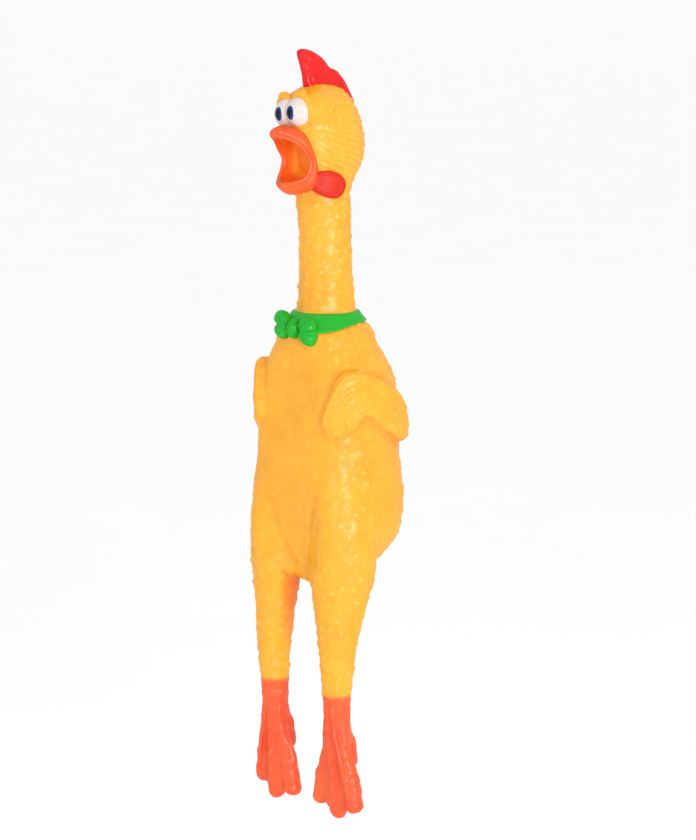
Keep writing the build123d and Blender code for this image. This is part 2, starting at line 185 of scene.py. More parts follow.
# foot: (x outwards from its middle, tip height, radius) of the inner, middle and outer toe
FOOT = (23.7, -14.6)
LEFT_TOES = ((-11.9, -292.6, 4.5), (1.2, -297.0, 4.7), (13.3, -292.0, 4.6))
RIGHT_TOES = ((-13.3, -293.6, 4.6), (-1.2, -297.0, 4.7), (9.2, -290.4, 4.4))
FRONT = -18.2  # y of the foot's front near its toes


def foot(x, y, z, toes):
    fx, fy = FOOT
    lean = (toes[0][0] + toes[2][0]) / 2
    web = ellipsoid(x, y, z, (fx + lean, fy - 0.2, -281.5), (13.6, 4.6, 17.5))
    d = smooth_min(web, ellipsoid(x, y, z, (fx, fy - 0.3, -260), (7.8, 5.6, 17)), 3)
    for tx, tz, r in toes:
        path = [
            (fx + 0.20 * tx, fy - 1.6, -246, 3.4),
            (fx + 0.36 * tx, fy - 1.2, -263, 3.6),
            (fx + 0.80 * tx, fy - 0.6, tz + 13, 0.92 * r),
            (fx + tx, fy - 0.4, tz, r),
        ]
        d = smooth_min(d, chain(x, y, z, path, 1.5), 1.4)
    for tx, tz, r in toes[1:]:
        tendon = [
            (fx + 0.30 * tx - 1.6, FRONT - 3.3, -240, 0.9),
            (fx + 0.40 * tx - 0.8, FRONT - 2.6, -256, 1.2),
            (fx + 0.76 * tx, FRONT - 1.5, -276, 1.3),
            (fx + 0.98 * tx, FRONT - 0.6, tz + 1, 1.2),
        ]
        d = smooth_min(d, chain(x, y, z, tendon, 1), 0.8)
    spur = [(fx, fy + 2, -250, 4.4), (fx, fy + 7.5, -263, 3.8), (fx, fy + 9.3, -272.5, 3.9)]
    return smooth_min(d, chain(x, y, z, spur, 2), 2.5)


# wing: outline on the body's side (degrees round from the front, height)
WING = [
    (43.5, -96), (41, -90.5), (43, -85), (48, -77.5), (51.5, -71), (57, -65.6), (67, -63.8),
    (77, -64.8), (87, -67.6), (98, -71.3), (113, -77), (128, -87), (134, -96), (132, -103),
    (122.5, -105), (108, -101.5), (92, -95), (78.5, -87.2), (73, -91.5), (66, -95.3), (58, -98.4),
    (50, -99),
]
WING_SCALE = 0.62  # mm per degree round the body
WING_NOTCH = (78, -88)  # between the arm and the hand


def line_distance(u, v, points):
    """Squared distance to a line through points in a plane."""
    best = np.full(u.shape, 1e9, u.dtype)
    for (x0, y0), (x1, y1) in zip(points, points[1:]):
        ex, ey = x1 - x0, y1 - y0
        wx, wy = u - x0, v - y0
        t = np.clip((wx * ex + wy * ey) / (ex * ex + ey * ey), 0, 1)
        best = np.minimum(best, (wx - ex * t) ** 2 + (wy - ey * t) ** 2)
    return best


def polygon(u, v, points):
    """Signed distance to a closed outline, negative inside."""
    points = points + points[:1]
    inside = np.zeros(u.shape, bool)
    for (x0, y0), (x1, y1) in zip(points, points[1:]):
        if y1 != y0:
            crosses = ((y0 <= v) & (v < y1)) | ((y1 <= v) & (v < y0))
            inside ^= crosses & (u < x0 + (v - y0) * (x1 - x0) / (y1 - y0))
    d = np.sqrt(line_distance(u, v, points))
    return np.where(inside, -d, d)


def rounded(points, times):
    """Corner-cut copy of a closed outline."""
    for _ in range(times):
        cut = []
        for p, q in zip(points, points[1:] + points[:1]):
            cut.append((0.75 * p[0] + 0.25 * q[0], 0.75 * p[1] + 0.25 * q[1]))
            cut.append((0.25 * p[0] + 0.75 * q[0], 0.25 * p[1] + 0.75 * q[1]))
        points = cut
    return points


WING_OUTLINE = rounded([(t * WING_SCALE, z) for t, z in WING], 1)


def wing(x, y, z):
    """The folded wing: a plate at its own distance from the body's middle, cut to its outline."""
    out = np.full(x.shape, 3 * FAR, x.dtype)
    near = (z > WING_LOW) & (z < WING_TOP) & (x > 8)
    if not near.any():
        return out
    xs, ys, zs = x[near], y[near], z[near]
    turn = np.degrees(np.arctan2(xs, -(ys - 1)))
    u = turn * WING_SCALE
    edge = polygon(u, zs, WING_OUTLINE)
    scallops = np.cos(2 * math.pi * (zs + 0.5 * u) / 6.2)
    edge += 0.2 * scallops * np.clip((62 - turn) / 8, 0, 1)
    reach = 39.2 + 3.4 * np.clip((turn - 82) / 45, 0, 1)
    reach -= 0.04 * np.clip(-83 - zs, 0, 20) * np.clip((86 - turn) / 20, 0, 1)
    reach -= 0.24 * np.clip(-84 - zs, 0, 20) * np.clip((52 - turn) / 8, 0, 1)
    # feathers: ridges that curve round the notch over the hand, and fade along the arm
    ring = np.hypot(u - WING_NOTCH[0] * WING_SCALE, zs - WING_NOTCH[1])
    wave = np.cos(2 * math.pi * (ring - 5.2 + 0.9 * np.sin(u * 0.42 + 1)) / 4.3)
    hand = np.clip((98 - turn) / 22, 0, 1) * np.clip((ring - 4) / 2, 0, 1)
    reach += (0.32 * wave - 0.2) * hand * np.clip(-edge / 1.5, 0, 1)
    plate = np.hypot(xs, ys - 1) - reach
    out[near] = smooth_max(edge, plate, 3.2)
    return out


# head
TILT = 0.11  # lean of the eyes and brows, mm up per mm to the left
CROWN = ((0, -2.5, 56.0), (17.0, 21.6, 22.8))
CHEEKS = ((0, -1.6, 46.0), (18.2, 22.8, 21.5))
FOREHEAD = ((0, -9.5, 66.0), (12.0, 10.0, 12.6))
EYE = ((4.2, -17.2, 65.3), (8.7, 12.0, 9.1))
LID = ((5.0, -14.9, 65.3), (10.0, 11.0, 10.2))
BROW = [
    (0.7, -22.6, 71.8, 1.5), (2.6, -23.4, 72.6, 1.6), (4.8, -23.4, 73.8, 1.9),
    (7.4, -22.8, 73.8, 1.9), (9.6, -22.3, 71.0, 1.7), (11.7, -21.6, 67.4, 1.3),
    (12.5, -21.1, 63.7, 1.0), (11.2, -20.9, 59.4, 0.7),
]
MOUTH = ((0, -26.0, 41.0), (10.2, 18.5, 13.2))


# the fold between the belly and the thigh, as seen from the front: (x, height)
FOLD = [
    (21.0, -122), (18.6, -130), (15.2, -138), (13.0, -147), (11.4, -154), (8.4, -162), (5.4, -170),
    (2.6, -176),
]


def fold(x, y, z):
    """Depth of that fold, on the front of the body only."""
    depth = 0.7 * np.exp(-line_distance(x, z, FOLD) / 5.0)
    return depth * fade(-z, 119, 137) * fade(-y, 6, 12)


def pocket(x, y, z):
    """The hole in the skin behind the beak, negative inside."""
    c, r = MOUTH
    d = (np.sqrt(((x - c[0]) / r[0]) ** 2 + ((z - c[2]) / r[2]) ** 2) - 1) * r[0]
    return np.maximum(d, y + 11.8)


def skin(x, y, z):
    """The skin without its bumps, negative inside. Only the feet and the face aren't mirrored."""
    left = x > 0
    x = np.abs(x)
    top, low = z.max(), z.min()
    d = trunk(x, y, z)
    if low < WING_TOP and top > WING_LOW:
        d = smooth_min(d, wing(x, y, z), 2.0)
    if top > HEAD_FROM:
        head = smooth_min(ellipsoid(x, y, z, *CROWN), ellipsoid(x, y, z, *CHEEKS), 5)
        head = smooth_min(head, ellipsoid(x, y, z, *FOREHEAD), 4)
        leaning = z - TILT * np.where(left, x, -x)
        head = smooth_min(head, ellipsoid(x, y, leaning, *LID), 3)
        head = smooth_min(head, chain(x, y, leaning, BROW, 1.0), 1.4)
        d = smooth_min(d, head, 6)
        d = np.maximum(d, -pocket(x, y, z))
    if low < LEG_FROM:
        soft = 3.2 + 4.0 * fade(-x, -24, -15) * fade(-y, 9, 15) * fade(z, -178, -168)
        d = smooth_min(d, leg(x, y, z), soft)
    if low < FOLD_TOP and top > FOLD_LOW:
        d = d + fold(x, y, z)
    if low < TAIL_FROM:
        tail = chain(x, y, z, [(0, 22, -146, 10), (0, 33, -160, 6.5), (0, 38.5, -167, 3.6)], 2)
        d = smooth_min(d, tail, 3)
    if low < FOOT_FROM:
        feet = np.where(left, foot(x, y, z, LEFT_TOES), foot(x, y, z, RIGHT_TOES))
        d = smooth_min(d, feet, 1.5)
    return d


SLAB = 12  # height in mm of the slabs that a field is evaluated in, so that it can skip what is far


def values_at(field, p):
    """A field's values at points, slab by slab."""
    out = np.empty(len(p), p.dtype)
    slab = np.floor(p[:, 2] / SLAB).astype(int)
    for s in np.unique(slab):
        at = slab == s
        out[at] = field(p[at, 0], p[at, 1], p[at, 2])
    return out


def gradient(field, p, h=0.05):
    g = np.empty_like(p)
    for i in range(3):
        q = p.copy()
        q[:, i] += h
        ahead = values_at(field, q)
        q[:, i] -= 2 * h
        g[:, i] = (ahead - values_at(field, q)) / (2 * h)
    return g


def settle(field, p, steps=3):
    """Moves points onto the field's surface."""
    for _ in range(steps):
        g = gradient(field, p)
        share = values_at(field, p) / np.maximum((g * g).sum(1), 0.2)
        p = p - np.clip(share, -1, 1)[:, None] * g
    return p


def surface(field, low, high, step):
    """Quads on the zero level of a field: (points, faces)."""
    axes = [np.arange(a, b + step, step, dtype=np.float32) for a, b in zip(low, high)]
    values = np.empty([len(a) for a in axes], np.float32)
    layers = max(1, int(SLAB / step))
    for start in range(0, len(axes[2]), layers):
        x, y, z = np.meshgrid(axes[0], axes[1], axes[2][start : start + layers], indexing="ij")
        block = field(x.ravel(), y.ravel(), z.ravel())
        values[:, :, start : start + layers] = np.clip(block, -FAR, FAR).reshape(x.shape)
    grid = openvdb.FloatGrid(FAR)
    grid.copyFromArray(values)
    points, quads = grid.convertToQuads(0.0)
    points = points.astype(float) * step + np.array(low, float)
    points = settle(field, points)
    quads = quads.astype(int)
    some = quads[::50]  # enough to tell which way the quads face
    a, b, c = (points[some[:, i]] for i in range(3))
    outward = gradient(field, points[some].mean(1))
    if ((np.cross(b - a, c - a) * outward).sum(1) < 0).mean() > 0.5:
        quads = quads[:, ::-1]
    return points, quads


# ---- meshes
def raw_mesh(name, points, faces):
    mesh = bpy.data.meshes.new(name)
    mesh.from_pydata(points.tolist(), [], [list(f) for f in faces])
    mesh.update()
    return mesh


def piece(name, points, faces, normals, values, material):
    """An object in metres from points in mm, with values for its material and its rest place."""
    used, index = np.unique(np.concatenate([np.asarray(f) for f in faces]), return_inverse=True)
    where = np.cumsum([0] + [len(f) for f in faces])
    faces = [index[a:b] for a, b in zip(where[:-1], where[1:])]
    mesh = raw_mesh(name, points[used] * MM, faces)
    mesh.shade_smooth()
    rest = mesh.attributes.new("rest", "FLOAT_VECTOR", "POINT")
    rest.data.foreach_set("vector", (points[used] * MM).astype(np.float32).ravel())
    for key, column in values.items():
        layer = mesh.attributes.new(key, "FLOAT", "POINT")
        layer.data.foreach_set("value", column[used].astype(np.float32))
    if normals is not None:
        mesh.normals_split_custom_set_from_vertices(normals[used].tolist())
    mesh.materials.append(material)
    whole = bpy.data.objects.new(name, mesh)
    bpy.context.scene.collection.objects.link(whole)
    return whole


def vertex_normals(points, faces):
    mesh = raw_mesh("scratch", points, faces)
    normals = np.empty(len(points) * 3, np.float32)
    mesh.vertex_normals.foreach_get("vector", normals)
    bpy.data.meshes.remove(mesh)
    return normals.reshape(-1, 3)


# ---- materials
class Nodes:
    """A short way to write a material's nodes."""

    def __init__(self, name):
        self.material = bpy.data.materials.new(name)
        self.material.use_nodes = True
        self.tree = self.material.node_tree
        self.tree.nodes.clear()
        self.shader = self.tree.nodes.new("ShaderNodeBsdfPrincipled")
        out = self.tree.nodes.new("ShaderNodeOutputMaterial")
        self.tree.links.new(self.shader.outputs[0], out.inputs[0])

    def link(self, a, b):
        self.tree.links.new(a, b)

    def feed(self, socket, value):
        """Links a value to one of the shader's sockets."""
        self.link(value, self.shader.inputs[socket])

    def attribute(self, name, output="Fac"):
        node = self.tree.nodes.new("ShaderNodeAttribute")
        node.attribute_name = name
        return node.outputs[output]

    def noise(self, vector, scale, detail=2.0, rough=0.5):
        node = self.tree.nodes.new("ShaderNodeTexNoise")
        node.inputs["Scale"].default_value = scale
        node.inputs["Detail"].default_value = detail
        node.inputs["Roughness"].default_value = rough
        self.link(vector, node.inputs["Vector"])
        return node.outputs["Fac"]

    def spread(self, value, a, b, c=0.0, d=1.0):
        """Maps a to b onto c to d, and holds the value there."""
        node = self.tree.nodes.new("ShaderNodeMapRange")
        for key, v in zip(("From Min", "From Max", "To Min", "To Max"), (a, b, c, d)):
            node.inputs[key].default_value = v
        self.link(value, node.inputs["Value"])
        return node.outputs[0]

    def math(self, kind, a, b):
        node = self.tree.nodes.new("ShaderNodeMath")
        node.operation = kind
        for socket, v in zip(node.inputs, (a, b)):
            if isinstance(v, (int, float)):
                socket.default_value = v
            else:
                self.link(v, socket)
        return node.outputs[0]

    def mix(self, share, a, b):
        node = self.tree.nodes.new("ShaderNodeMix")
        node.data_type = "RGBA"
        self.link(share, node.inputs["Factor"])
        for key, v in (("A", a), ("B", b)):
            socket = next(s for s in node.inputs if s.name == key and s.type == "RGBA")
            if isinstance(v, tuple):
                socket.default_value = (*v, 1)
            else:
                self.link(v, socket)
        return next(s for s in node.outputs if s.type == "RGBA")

    def cloudy(self, vector, scale, c=0.0, d=1.0, detail=3.0):
        """Noise between c and d."""
        return self.spread(self.noise(vector, scale, detail), 0.3, 0.7, c, d)

    def axis(self, vector, i):
        node = self.tree.nodes.new("ShaderNodeSeparateXYZ")
        self.link(vector, node.inputs[0])
        return node.outputs[i]

    def bump(self, height, strength, distance, after=None):
        node = self.tree.nodes.new("ShaderNodeBump")
        node.inputs["Strength"].default_value = strength
        node.inputs["Distance"].default_value = distance
        self.link(height, node.inputs["Height"])
        if after is not None:
            self.link(after, node.inputs["Normal"])
        return node.outputs[0]

    def set(self, **values):
        """Sets the shader's own sockets, with _ for the spaces in their names."""
        for key, v in values.items():
            self.shader.inputs[key.replace("_", " ")].default_value = v


COAT_IOR = 1.8  # all the gloss of the vinyl comes from its coat
VINYL_IOR = 1.5


def vinyl(name, deep, light, rough, coat, scatter=0.12, grain=0.00012):
    """Soft vinyl or paint on it: cloudy colour, a finely uneven surface, and wear in its gloss."""
    n = Nodes(name)
    rest = n.attribute("rest", "Vector")
    cloud = n.noise(rest, 55, 3)
    fine = n.noise(rest, 900, 2)
    n.feed("Base Color", n.mix(n.spread(cloud, 0.3, 0.7), deep, light))
    n.feed("Roughness", n.cloudy(rest, 160, rough - 0.07, rough + 0.09))
    n.feed("Normal", n.bump(fine, 0.5, grain, n.bump(cloud, 0.35, 0.0006)))
    n.set(Coat_Weight=coat, Coat_Roughness=rough, Coat_IOR=COAT_IOR)
    n.set(Subsurface_Weight=scatter, Subsurface_Scale=0.004, Subsurface_Radius=(1.0, 0.45, 0.2))
    n.set(IOR=VINYL_IOR, Specular_IOR_Level=0.0)
    return n


SPRAY_EDGE = (-0.2336, -0.2362)  # heights in metres where the orange of the feet starts and is full
MOUTH_RIM = (-0.0135, -0.0185)  # y in metres where the mouth starts to redden and is reddest


def skin_material():
    """Yellow vinyl with painted highlight on its pimples and painted orange shade in its creases,
    sprayed orange below the ankles.
    """
    n = Nodes("skin_yellow")
    rest = n.attribute("rest", "Vector")
    cloud = n.noise(rest, 38, 3)
    patch = n.noise(rest, 220, 3, 0.6)
    yellow = n.mix(n.spread(cloud, 0.32, 0.68), (0.78, 0.318, 0.012), (0.83, 0.376, 0.018))
    yellow = n.mix(n.spread(patch, 0.45, 0.75, 0, 0.35), yellow, (0.86, 0.468, 0.035))
    # painted highlight: paler on the tops of the goose bumps and the cheek ridges
    yellow = n.mix(n.math("MULTIPLY", n.attribute("pimple"), 0.27), yellow, (0.90, 0.57, 0.09))
    # painted shade: deeper orange in the creases, down the inner sides of the legs and over the
    # back
    yellow = n.mix(n.spread(n.attribute("crease_shade"), 0.12, 0.8, 0, 0.85), yellow, (0.82, 0.18, 0.010))
    orange = n.mix(n.spread(cloud, 0.3, 0.7), (0.74, 0.072, 0.014), (0.79, 0.108, 0.021))
    # painted highlight: paler on the tops of the bumps on the orange feet
    orange = n.mix(n.math("MULTIPLY", n.attribute("pimple"), 0.30), orange, (0.90, 0.22, 0.06))
    # painted shade: deeper red in the creases of the orange feet
    orange = n.mix(n.spread(n.attribute("crease_shade"), 0.15, 0.9, 0, 0.6), orange, (0.62, 0.03, 0.01))
    ragged = n.math("ADD", n.axis(rest, 2), n.cloudy(rest, 260, -0.0006, 0.0006))
    sprayed = n.spread(ragged, *SPRAY_EDGE)
    n.feed("Base Color", n.mix(sprayed, yellow, orange))
    n.feed("Roughness", n.cloudy(rest, 130, 0.26, 0.40))
    n.feed("Normal", n.bump(n.noise(rest, 1100, 2), 0.4, 0.0001, n.bump(patch, 0.35, 0.0005)))
    n.set(Coat_Weight=0.42, Coat_Roughness=0.32, Coat_IOR=COAT_IOR)
    n.set(Subsurface_Weight=0.14, Subsurface_Scale=0.005, Subsurface_Radius=(1.0, 0.42, 0.10))
    n.set(IOR=VINYL_IOR, Specular_IOR_Level=0.0)
    return n.material


SKIN = skin_material()
COMB_RED = vinyl(
    "comb_red", (0.62, 0.003, 0.003), (0.69, 0.008, 0.006),
    rough=0.18, coat=0.32, scatter=0.02, grain=0.0003,
).material
WATTLE_RED = vinyl(
    "wattle_red", (0.57, 0.020, 0.009), (0.63, 0.034, 0.015), rough=0.36, coat=0.14, scatter=0.03
).material
BEAK = vinyl(
    "beak_orange", (0.70, 0.074, 0.012), (0.76, 0.110, 0.018), rough=0.26, coat=0.36, scatter=0.04
).material


def mouth_material():
    """Orange that turns redder towards the rim."""
    n = vinyl("mouth_orange", (0.96, 0.30, 0.022), (0.99, 0.42, 0.040), rough=0.40, coat=0.2)
    base = n.shader.inputs["Base Color"].links[0].from_socket
    rim = n.spread(n.axis(n.attribute("rest", "Vector"), 1), *MOUTH_RIM)
    n.feed("Base Color", n.mix(rim, base, (0.82, 0.13, 0.014)))
    return n.material


MOUTH_INSIDE = mouth_material()
GREEN = vinyl(
    "bow_green", (0.003, 0.32, 0.012), (0.008, 0.43, 0.022), rough=0.20, coat=0.34, scatter=0.03
).material


# ---- the skin
BUMP_TRIES = 60000
BUMP_CELL = 3.3  # mm: bumps are spaced by less than two of these
CELLS_ROUND = tuple(itertools.product((-2, -1, 0, 1, 2), repeat=3))


def crowded(p, gap, cell, cells):
    """Whether a point that was kept is nearer to p than the gap."""
    cx, cy, cz = cell
    for dx, dy, dz in CELLS_ROUND:
        for q in cells.get((cx + dx, cy + dy, cz + dz), ()):
            if (p[0] - q[0]) ** 2 + (p[1] - q[1]) ** 2 + (p[2] - q[2]) ** 2 < gap * gap:
                return True
    return False


def bump_centres(points):
    """Places for goose bumps: spread evenly at the spacing that each part of the skin has."""
    pick = rng.permutation(len(points))[:BUMP_TRIES]
    x, y, z = points[pick].T
    spacing = np.full(len(pick), 4.5)
    spacing[z > HEAD_BUMPS] = 3.3
    spacing[(z < BODY_BUMPS) & (z > RUMP_BUMPS)] = 4.7
    spacing[(y < -18) & (z < -50) & (z > RUMP_BUMPS) & (np.abs(x) < 20)] = 6.5
    spacing[z < FOOT_BUMPS] = 3.6
    kept, cells = [], {}
    for i, p, gap in zip(pick, points[pick], spacing):
        cell = tuple(math.floor(v / BUMP_CELL) for v in p)
        if not crowded(p, gap, cell, cells):
            cells.setdefault(cell, []).append(p)
            kept.append(i)
    return points[kept]


def bump_heights(points, centres):
    """Height of the goose bumps at each point, 0 to 1."""
    tree = KDTree(len(centres))
    sizes = 0.45 + 0.75 * rng.beta(1.8, 1.6, len(centres))
    for i, c in enumerate(centres):
        tree.insert(c, i)
    tree.balance()
    out = np.zeros(len(points))
    for k, p in enumerate(points):
        _, i, far = tree.find(p)
        radius = (1.6 if p[2] > HEAD_BUMPS else 1.75) * sizes[i]
        if far < radius:
            out[k] = sizes[i] * (1 - (far / radius) ** 2) ** 1.5
    return out


CHEEK_ROW = 3.15  # mm from one row of feathers to the next
LUMP_WAVES = 14


def cut_faces(bm, near, place, way):
    """Cuts some faces of the skin along a plane."""
    geom = list({v for f in near for v in f.verts}) + list({e for f in near for e in f.edges})
    bmesh.ops.bisect_plane(bm, geom=geom + near, dist=1e-4, plane_co=place, plane_no=way)


def cut_skin():
    """The skin without its bumps, cut along the edges of its pieces: (points, faces)."""
    mesh = raw_mesh("skin", *surface(skin, *SKIN_BOX, FINE))
    bm = bmesh.new()
    bm.from_mesh(mesh)
    for level in LEVELS:
        near = [f for f in bm.faces if abs(f.verts[0].co.z - level) < 2.5]
        cut_faces(bm, near, (0, 0, level), (0, 0, 1))
    # the mitred corners of the frame round the pressed part of the belly
    for sign in (-1, 1):
        for end in (1, 2):
            start = Vector((sign * PRESSED[0], 0, PRESSED[end]))
            way = Vector((sign * GIVING[0], 0, GIVING[end])) - start
            across = Vector((way.z, 0, -way.x)).normalized()
            near = []
            for f in bm.faces:
                place = f.verts[0].co - start
                along = (place.x * way.x + place.z * way.z) / way.length_squared
                if f.verts[0].co.y < -10 and -0.1 < along < 1.1 and abs(place.dot(across)) < 2:
                    near.append(f)
            cut_faces(bm, near, start, across)
    bm.to_mesh(mesh)
    bm.free()
    points = np.empty(len(mesh.vertices) * 3)
    mesh.vertices.foreach_get("co", points)
    faces = [list(p.vertices) for p in mesh.polygons]
    bpy.data.meshes.remove(mesh)
    return points.reshape(-1, 3), faces


def creases(points, normals):
    """How closed in by the rest of the skin each point is, 0 to 1."""
    total = np.zeros(len(points))
    for share, reach in ((0.5, 2.5), (0.4, 7.0), (0.35, 14.0)):
        total += share * np.clip(1 - values_at(skin, points + normals * reach) / reach, 0, 1)
    return np.clip(total, 0, 1)


def build_skin():
    points, faces = cut_skin()
    normals = gradient(skin, points)
    normals /= np.linalg.norm(normals, axis=1)[:, None]
    # how closed in each point is: it flattens the bumps there and is painted as orange shade
    crease_shade = creases(points, normals)
    x, y, z = points.T
    turn = np.degrees(np.arctan2(np.abs(x), -(y + 2)))

    pimple = bump_heights(points, bump_centres(points))
    # low and sparse on the flat front, smooth round the eyes and beak, nearly gone on the feet
    height = np.where(z > HEAD_BUMPS, 0.74, 0.62)
    height = np.where((z < BODY_BUMPS) & (z > RUMP_BUMPS - 5), 0.50, height)
    front = fade(-y, 17, 21) * fade(z, -172, -160) * fade(-z, 50, 56)
    height *= 1 - 0.6 * front
    face = fade(turn, 56, 36) * fade(z, 24, 30)
    height *= 1 - 0.95 * face
    height *= 1 - 0.7 * fade(-z, 232, 250)
    height *= 1 - 0.8 * crease_shade

    # rows of small feathers that sweep back over the cheeks
    along = np.radians(turn) * 20
    row = (z + 0.30 * (along - 10) + 0.4 * np.sin(along / 3.4)) / CHEEK_ROW
    wave = (0.5 + 0.5 * np.cos(2 * math.pi * row)) ** 1.2
    cheek = fade(turn, 38, 56) * fade(turn, 165, 130) * fade(z, 30, 35) * fade(z, 61, 54)
    ridges = 0.72 * wave * cheek * (0.8 + 0.2 * np.sin(along * 1.3 + row * 2))
    height *= 1 - 0.5 * cheek

    # broad soft lumps
    lumps = np.zeros(len(points))
    for _ in range(LUMP_WAVES):
        way = rng.normal(size=3)
        way *= 2 * math.pi / (rng.uniform(6, 13) * np.linalg.norm(way))
        lumps += np.sin(points @ way + rng.uniform(0, 2 * math.pi))
    lumps *= 0.075 * (1 - 0.8 * face) * (1 - 0.5 * front) * (1 - crease_shade)

    lift = height * pimple + (ridges + lumps)
    points = points + normals * lift[:, None]
    # painted highlight: how pale the tops of the bumps and the cheek ridges are painted
    bump_highlight = np.clip(pimple * height / 0.6, 0, 1) + 0.6 * wave * cheek
    smooth = vertex_normals(points, faces)
    # painted shade: deeper orange down the inner sides of the legs, in the folds, and faintly over
    # the back
    inner = 0.4 * normals[:, 1] - 0.9 * np.sign(x) * normals[:, 0]
    painted_shade = 0.75 * fade(inner, 0.35, 1.0) * fade(-z, 148, 174) * fade(z, -230, -186)
    painted_shade += 0.7 * fade(inner, 0.4, 0.95) * fade(-z, 230, 240) * fade(z, -294, -272)
    # painted shade on the surfaces that face the back
    back_shade = fade(normals[:, 1], -0.2, 0.8) * fade(z, -234, -226)
    painted_shade += 0.4 * fold(np.abs(x), y, z) + 0.28 * back_shade
    facts = {"pimple": np.clip(bump_highlight, 0, 1), "crease_shade": np.maximum(crease_shade, np.clip(painted_shade, 0, 1))}

    middle = np.array([points[f].mean(0) for f in faces])
    hidden = (np.abs(pocket(*middle.T)) < 0.8) & (middle[:, 2] > 22)  # walls of the mouth's hole
    kept = {}
    for f, (mx, my, mz), gone in zip(faces, middle, hidden):
        if not gone:
            kept.setdefault(zone(mx, my, mz), []).append(f)
    return {name: piece(name, points, part, smooth, facts, SKIN) for name, part in kept.items()}


def zone(x, y, z):
    """The stretch of skin that a face belongs to."""
    side = "left" if x > 0 else "right"
    if y < -10 and abs(x) < GIVING[0] and GIVING[2] < z < GIVING[1]:
        out = (abs(x) - PRESSED[0]) / (GIVING[0] - PRESSED[0])
        up = (z - PRESSED[1]) / (GIVING[1] - PRESSED[1])
        down = (z - PRESSED[2]) / (GIVING[2] - PRESSED[2])
        if max(out, up, down) < 0:
            return "belly_vinyl"
        if out > max(up, down):
            return f"belly_{side}_vinyl"
        return "belly_top_vinyl" if up > down else "belly_low_vinyl"
    steps = [
        (THROAT[0], "head_vinyl"), (THROAT[1], "throat_vinyl"), (BEND[0], "neck_vinyl"),
        (BEND[1], "neck_bend_vinyl"), (SWAY[0], "lower_neck_vinyl"), (SWAY[1], "collar_bend_vinyl"),
        (WAIST, "torso_vinyl"), (HIP[0], "rump_vinyl"), (HIP[1], side + "_hip_vinyl"),
        (KNEE[0], side + "_thigh_vinyl"), (KNEE[1], side + "_knee_vinyl"),
        (ANKLE[0], side + "_shank_vinyl"), (ANKLE[1], side + "_ankle_vinyl"),
    ]
    return next((name for level, name in steps if z > level), side + "_foot_vinyl")


made = build_skin()

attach(made["head_vinyl"], "head")
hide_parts("head_skin", "left_brow", "right_brow")


def bend(name, a, b, span, x, *nodes, colour="skin_yellow"):
    """A stretch between the body above and the one below: baked in place, its CAD nodes hidden."""
    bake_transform(made[name])
    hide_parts(*nodes)


def follow(name, body, *nodes, colour="skin_yellow"):
    """A stretch that rides on one body."""
    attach(made[name], body)
    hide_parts(*nodes)


bend("throat_vinyl", "head", "neck", THROAT, 0, "throat_sleeve")
follow("neck_vinyl", "neck", "neck_skin")
bend("neck_bend_vinyl", "neck", "lower_neck", BEND, 0, "neck_sleeve")
follow("lower_neck_vinyl", "lower_neck", "lower_neck_skin")
bend("collar_bend_vinyl", "lower_neck", "torso", SWAY, 0, "collar_sleeve")
follow("torso_vinyl", "torso", "torso_skin", "left_wing", "right_wing")
follow("rump_vinyl", "torso", "tail")
follow("belly_vinyl", "belly", "belly_panel")
for name, x, z in (("left", 1, 0), ("right", -1, 0), ("top", 0, 1), ("low", 0, 2)):
    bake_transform(made[f"belly_{name}_vinyl"])
for side, sign in SIDES:
    x = sign * LEG_X
    hip, knee, ankle = f"{side}_hip", f"{side}_knee", f"{side}_ankle"
    thigh, shank, end = f"{side}_thigh", f"{side}_shank", f"{side}_foot"
    bend(f"{hip}_vinyl", "torso", thigh, HIP, x, f"{hip}_sleeve")
    follow(f"{thigh}_vinyl", thigh, f"{thigh}_skin")
    bend(f"{knee}_vinyl", thigh, shank, KNEE, x, f"{knee}_sleeve")
    follow(f"{shank}_vinyl", shank, f"{shank}_skin")
    bend(f"{ankle}_vinyl", shank, end, ANKLE, x, f"{ankle}_sleeve", colour="foot_orange")
    follow(f"{end}_vinyl", end, end, colour="foot_orange")


# ---- painted features
def trimmed(points, faces, depth):
    """Drops the faces that lie deeper than depth inside the skin, where nothing shows."""
    inside = np.minimum(values_at(skin, points), pocket(*points.T) - 1.5)
    return [f for f in faces if (inside[f] > -depth).any()]


def wear(name, shape, material, body, node):
    """Makes a piece that rides a body and replaces a CAD node."""
    made[name] = piece(name, *shape, material)
    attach(made[name], body)
    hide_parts(node)


def feature(name, field, box, material, body, node, step=FINE_TRIM):
    """Such a piece, meshed from a distance field."""
    points, quads = surface(field, *box, step)
    shape = (points, trimmed(points, quads, 1.2), vertex_normals(points, quads), {})
    wear(name, shape, material, body, node)


def one_side(field, sign, gap):
    """A mirrored field on one side only, beyond a gap from the middle."""
    return lambda x, y, z: np.where(x * sign > gap, field(x, y, z), FAR)


def side_box(low, high, sign):
    """A box that is given for the left side."""
    return (low, high) if sign > 0 else ((-high[0], *low[1:]), (-low[0], *high[1:]))


COMB_OUTLINE = rounded([
    (-14.6, 77), (-15.4, 83), (-17.3, 89), (-19.4, 94.2), (-18.6, 96.6), (-14.5, 96.8), (-9, 95.4),
    (-3, 92.2), (0.6, 88.6), (2.6, 86.6), (6.6, 85.9), (10, 83), (13.9, 78.6), (17.0, 73.8),
    (19.2, 67.8), (16.5, 65.5), (10, 70), (0, 71), (-12, 71),
], 2)


